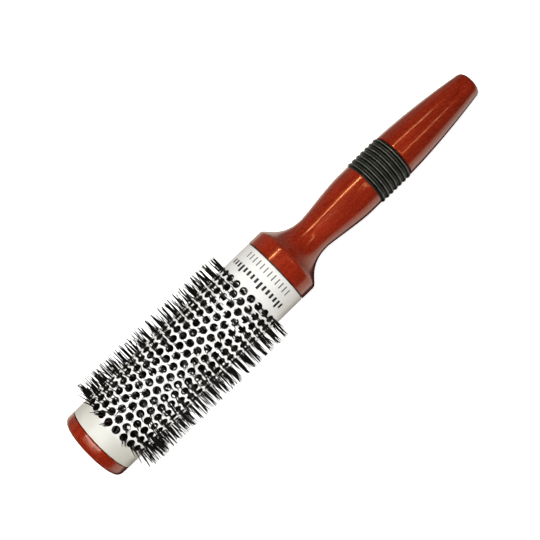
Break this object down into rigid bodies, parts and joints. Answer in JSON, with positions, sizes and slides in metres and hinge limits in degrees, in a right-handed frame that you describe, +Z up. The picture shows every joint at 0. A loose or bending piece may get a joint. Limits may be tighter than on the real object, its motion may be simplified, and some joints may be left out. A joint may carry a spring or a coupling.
{
  "type": "round barrel hair brush",
  "caption": "Round hair brush with a perforated coated metal barrel, bristle rings on a twisted-wire core, and a turned handle with a ribbed grip.",
  "frame": {"origin": "centre of the end cap's flat outer face, on the brush's axis", "axes": "+X along the brush's axis from the end cap to the tip of the handle, +Z up with the brush lying on its bristles"},
  "size_m": [0.2265, 0.048, 0.048],
  "materials": {
    "lacquer": "glossy clear lacquer over deep red-brown stained wood",
    "white_coat": "smooth satin white ceramic coat on thin perforated metal",
    "nylon": "dark brown-black nylon filament",
    "rubber": "ribbed black rubber, slight sheen",
    "steel_wire": "drawn steel wire"
  },
  "bodies": {
    "root": {"end_cap": "lacquer", "barrel": "white_coat", "bristle_ring_01": "nylon", "bristle_ring_02": "nylon", "bristle_ring_03": "nylon", "bristle_ring_04": "nylon", "bristle_ring_05": "nylon", "bristle_ring_06": "nylon", "bristle_ring_07": "nylon", "bristle_ring_08": "nylon", "bristle_ring_09": "nylon", "bristle_ring_10": "nylon", "bristle_ring_11": "nylon", "bristle_ring_12": "nylon", "bristle_ring_13": "nylon", "bristle_ring_14": "nylon", "bristle_ring_15": "nylon", "bristle_ring_16": "nylon", "bristle_ring_17": "nylon", "bristle_ring_18": "nylon", "bristle_ring_19": "nylon", "bristle_ring_20": "nylon", "bristle_ring_21": "nylon", "core_wire_a": "steel_wire", "core_wire_b": "steel_wire", "handle": "lacquer", "grip_sleeve": "rubber"}
  },
  "joints": []
}
